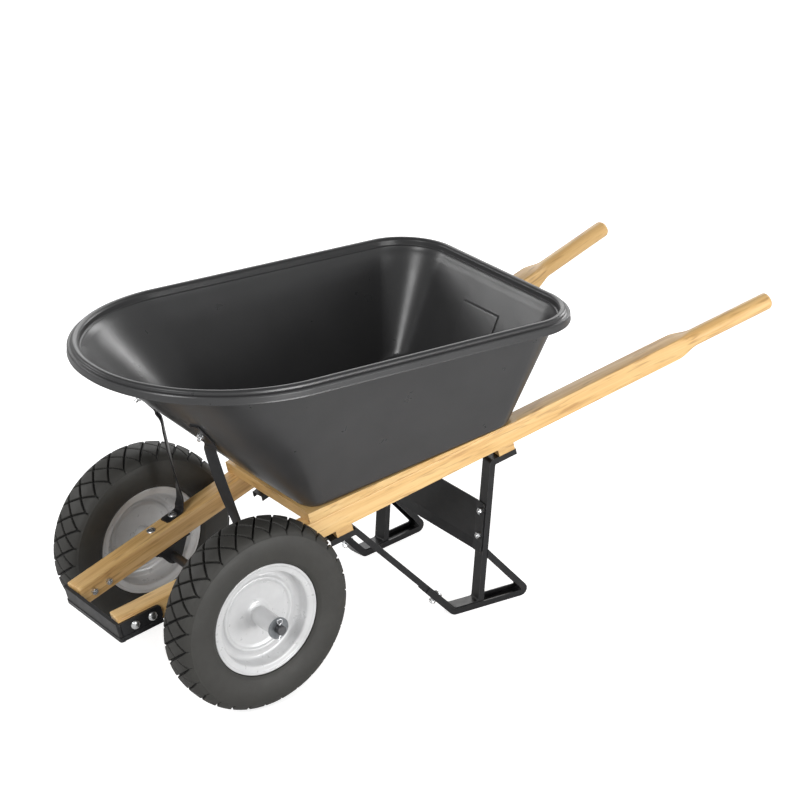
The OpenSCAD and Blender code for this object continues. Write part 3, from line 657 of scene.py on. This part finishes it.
def rim(side, name, body):
    pts = [(19.0, 1.5, 0), (19.0, 9.5, 0), (21.5, 8.0, 2.5), (27, 5.2, 5), (33, 4.4, 6), (64, 4.4, 8), (70.5, 6.2, 5), (74, 9.6, 3), (78, 9.6, 3), (81.5, 6.2, 5),
           (86.5, 4.4, 5), (92.5, 4.4, 4), (97.2, 7.2, 5), (98.7, 13, 5), (98.9, 30.5, 4), (101.5, 33.4, 4), (110.5, 34.6, 3), (113.2, 36.6, 1.6), (116.6, 36.9, 1.4), (117.6, 35.6, 1.0), (117.4, 34.5, 0.5),
           (115.1, 33.0, 1.5), (113.6, 30.4, 1), (101.6, 30.4, 2), (101.6, -30.4, 2), (113.6, -30.4, 1), (115.1, -33.0, 1.5), (117.4, -34.5, 0.5), (117.6, -35.6, 1.0),
           (116.6, -36.9, 1.4), (113.2, -36.6, 1.6), (110.5, -34.6, 3), (101.5, -33.4, 4), (98.9, -30.5, 4), (98.7, -4, 4), (96.4, 1.0, 3), (86.5, 1.0, 5), (81.5, 2.8, 5),
           (78, 6.2, 3), (74, 6.2, 3), (70.5, 2.8, 5), (64, 1.0, 8), (33, 1.0, 6), (24, 1.4, 3)]
    prof = fillet([(p[0], p[1]) for p in pts], [p[2] for p in pts], 4, closed=True)
    return lathe(name, prof, side, M_WHEEL, body, (body.split("_")[0] + "_rim",), 176, 60)


for s, nm, seed in ((1, "right", 1.4), (-1, "left", 5.1)):
    tyre(s, nm + "_tyre_tread", nm + "_wheel", seed)
    rim(s, nm + "_rim_pressing", nm + "_wheel")


# ---------------------------------------------------------------- tray braces
def wall_n(f, t):
    a = wall(f + 1, t, 0) - wall(f - 1, t, 0)
    b = wall(f, t + 0.02, 0) - wall(f, t - 0.02, 0)
    c = np.cross(a, b)
    c = c / np.linalg.norm(c)
    return -c if c[2] > 0 else c


def unit(v): v = np.array(v, float); return v / np.linalg.norm(v)


def brace(s, name):
    bw, bn = wall(-67.2, 0.6215, 0), wall_n(-67.2, 0.6215)
    d0 = np.array([28.0, -64.0, 84.0])
    bu = unit(d0 - bn * (d0 @ bn))
    th = 3.2
    bc = bw + bn * (th / 2 + 0.6)
    bwd = unit(np.cross(bu, bn))
    hh = 22.5
    P = [from_handle(2, 238, hh + th / 2), from_handle(2, 262, hh + th / 2), from_handle(2, 272, hh + th / 2),
         from_handle(2, 277.5, hh + 3), from_handle(2, 281, hh + 7), from_handle(2, 282.5, hh + 13),
         (116, AY + 38, 305), (111, AY + 31, 340), (104, AY + 19, 385), (97, AY + 6, 435), (92, AY - 4, 480), (90, AY - 9.5, 507),
         bc - bu * 46 + bn * 3.5, bc - bu * 38 + bn * 0.8, bc - bu * 30, bc, bc + bu * 36]
    fh = np.array([cosd(SPLAY), -sind(SPLAY), 0])
    rh = unit([0.81, 0.58, 0])
    W = [fh] * 6 + [unit(fh * 0.8 + rh * 0.2), unit(fh * 0.5 + rh * 0.5), unit(fh * 0.2 + rh * 0.8), rh, rh, unit(rh * 0.85 + bwd * 0.15),
                    unit(rh * 0.35 + bwd * 0.65), bwd, bwd, bwd, bwd]
    P = [np.array(p, float) for p in P]
    fine, wid = [], []
    for i in range(len(P) - 1):
        p0 = P[max(i - 1, 0)]
        p3 = P[min(i + 2, len(P) - 1)]
        d1, d2 = (P[i + 1] - p0), (p3 - P[i])
        L = np.linalg.norm(P[i + 1] - P[i])
        d1 = unit(d1) * L
        d2 = unit(d2) * L
        for k in range(5):
            t = k / 5
            q = (2 * t ** 3 - 3 * t ** 2 + 1) * P[i] + (t ** 3 - 2 * t ** 2 + t) * d1 + (-2 * t ** 3 + 3 * t ** 2) * P[i + 1] + (t ** 3 - t ** 2) * d2
            fine.append(q)
            wid.append(unit(W[i] * (1 - t) + W[i + 1] * t))
    fine.append(P[-1])
    wid.append(W[-1])
    rings = []
    n = len(fine)
    total = [0.0]
    for i in range(1, n):
        total.append(total[-1] + float(np.linalg.norm(fine[i] - fine[i - 1])))
    for i in range(n):
        t = unit(fine[min(i + 1, n - 1)] - fine[max(i - 1, 0)])
        w = unit(wid[i] - t * (wid[i] @ t))
        h = unit(np.cross(w, t))
        # rounded ends
        e = min(total[i], total[-1] - total[i])
        hw = 12.5 - (2.2 * (1 - math.sqrt(max(0.0, 1 - (1 - min(e / 2.2, 1)) ** 2))) if e < 2.2 else 0)
        c, r = th / 2, 0.7
        ring = []
        for sx, sz, a0 in ((1, 1, 0), (-1, 1, 90), (-1, -1, 180), (1, -1, 270)):
            for k in range(4):
                a = math.radians(a0 + 30 * k)
                ring.append(fine[i] + w * (sx * (hw - r) + r * math.cos(a)) + h * (sz * (c - r) + r * math.sin(a)))
        rings.append(ring)
    verts = [(p[0] * s, p[1], p[2]) for ring in rings for p in ring]
    m = len(rings[0])
    faces = rings_to_faces(n, m)
    faces.append(tuple(range(m)))
    faces.append(tuple(range((n - 1) * m, n * m)))
    return make(name, verts, faces, M_BLACK, "cart", (name.replace("_strap", ""),), 42)


brace(1, "right_tray_brace_strap")
brace(-1, "left_tray_brace_strap")


# ---------------------------------------------------------------- cotter pins
def cotter(s, name):
    x0 = 294.5
    pts = []
    R = 5.2
    # one leg up, round the eye, and down again beside it
    for z in np.linspace(-22, 10.5, 8):
        spread = 3.2 * smooth((-10.5 - z) / 11)
        pts.append((0.85 + spread * 0.9, -1.0 - spread * 1.9, z))
    for a in range(-68, 249, 12):
        pts.append((0.0 + 0.85 * cosd(a), R * cosd(a) * 1.0, 17.0 + R * sind(a)))
    for z in np.linspace(10.5, -19, 8):
        spread = 3.2 * smooth((-10.5 - z) / 9)
        pts.append((-0.85 - spread * 0.3, -1.0 + spread * 1.9, z))
    P = [(s * (x0 + a), AY + b + 1.0 * 0, TYRE_R + c) for a, b, c in pts]
    return tube(name, P, 1.25, M_PIN, "cart", (), 10)


right_cotter = cotter(1, "right_cotter_wire")
left_cotter = cotter(-1, "left_cotter_wire")
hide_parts("cotter_pins")

# ---------------------------------------------------------------- stage, light, camera
floor_me = bpy.data.meshes.new("studio_floor")
floor_me.from_pydata([(-30, -30, 0), (30, -30, 0), (30, 30, 0), (-30, 30, 0)], [], [(0, 1, 2, 3)])
floor = bpy.data.objects.new("studio_floor", floor_me)
bpy.context.scene.collection.objects.link(floor)
fm = bpy.data.materials.new("studio_floor")
fm.use_nodes = True
fb = fm.node_tree.nodes["Principled BSDF"]
fb.inputs["Base Color"].default_value = (0.80, 0.80, 0.80, 1)
fb.inputs["Roughness"].default_value = 0.9
fb.inputs["Specular IOR Level"].default_value = 0.1
fn = fm.node_tree
lit = fn.nodes.new("ShaderNodeEmission")
lit.inputs[0].default_value = (1, 1, 1, 1)
lit.inputs[1].default_value = 0.74
both = fn.nodes.new("ShaderNodeAddShader")
pick = fn.nodes.new("ShaderNodeMixShader")
ray = fn.nodes.new("ShaderNodeLightPath")
fn.links.new(fb.outputs[0], both.inputs[0])
fn.links.new(lit.outputs[0], both.inputs[1])
fn.links.new(ray.outputs["Is Camera Ray"], pick.inputs[0])
fn.links.new(fb.outputs[0], pick.inputs[1])
fn.links.new(both.outputs[0], pick.inputs[2])
fn.links.new(pick.outputs[0], fn.nodes["Material Output"].inputs[0])
floor_me.materials.append(fm)

scene = bpy.context.scene
world = bpy.data.worlds.new("studio")
scene.world = world
world.use_nodes = True
wn = world.node_tree
bg = wn.nodes["Background"]
bg.inputs[0].default_value = (1, 1, 1, 1)
sky = wn.nodes.new("ShaderNodeTexCoord")
axes = wn.nodes.new("ShaderNodeSeparateXYZ")
wn.links.new(sky.outputs["Generated"], axes.inputs[0])
grad = wn.nodes.new("ShaderNodeValToRGB")
for k, (pos, val) in enumerate(((0.0, 0.80), (0.34, 0.72), (0.62, 0.28), (1.0, 0.16))):
    el = grad.color_ramp.elements[k] if k < 2 else grad.color_ramp.elements.new(pos)
    el.position = pos
    el.color = (val, val, val, 1)
wn.links.new(axes.outputs["Z"], grad.inputs[0])
wn.links.new(grad.outputs[0], bg.inputs[1])


def area(name, loc, target, size, power, size_y=None):
    ld = bpy.data.lights.new(name, "AREA")
    ld.energy = power
    ld.size = size
    if size_y:
        ld.shape = "RECTANGLE"
        ld.size_y = size_y
    ob = bpy.data.objects.new(name, ld)
    scene.collection.objects.link(ob)
    ob.location = loc
    ob.rotation_mode = "QUATERNION"
    ob.rotation_quaternion = (Vector(target) - Vector(loc)).to_track_quat("-Z", "Y")
    return ob


area("front_left", (-3.0, -2.6, 2.0), (0, 0, 0.45), 1.0, 26)
area("right_key", (3.6, 0.4, 0.62), (0, 0, 0.40), 2.2, 82, 0.9)
area("rear_strip", (-0.6, 3.8, 1.3), (0, 0, 0.5), 0.8, 36, 1.6)
area("back_left", (-3.4, 2.45, 2.5), (0, 0, 0.6), 3.6, 52, 1.8)
area("front_high", (1.4, -3.6, 2.6), (0, -0.5, 0.3), 1.2, 62)

cam_data = bpy.data.cameras.new("camera")
cam = bpy.data.objects.new("camera", cam_data)
scene.collection.objects.link(cam)
yaw, pit, rol = math.radians(-54.3286), math.radians(-24.9554), math.radians(-1.4415)
fw = Vector((math.sin(yaw) * math.cos(pit), math.cos(yaw) * math.cos(pit), math.sin(pit)))
r0 = fw.cross(Vector((0, 0, 1))).normalized()
u0 = r0.cross(fw)
R2 = math.cos(rol) * r0 + math.sin(rol) * u0
U2 = -math.sin(rol) * r0 + math.cos(rol) * u0
cam.matrix_world = Matrix((
    (R2.x, U2.x, -fw.x, 4.19233),
    (R2.y, U2.y, -fw.y, -2.50078 + AY / 1000),
    (R2.z, U2.z, -fw.z, 2.82920),
    (0, 0, 0, 1)))
cam_data.sensor_fit = "HORIZONTAL"
cam_data.sensor_width = 36
cam_data.lens = 2758.106 / 800 * 36
cam_data.clip_start, cam_data.clip_end = 0.1, 100
scene.camera = cam
scene.view_settings.view_transform = "Standard"

bpy.context.view_layer.update()
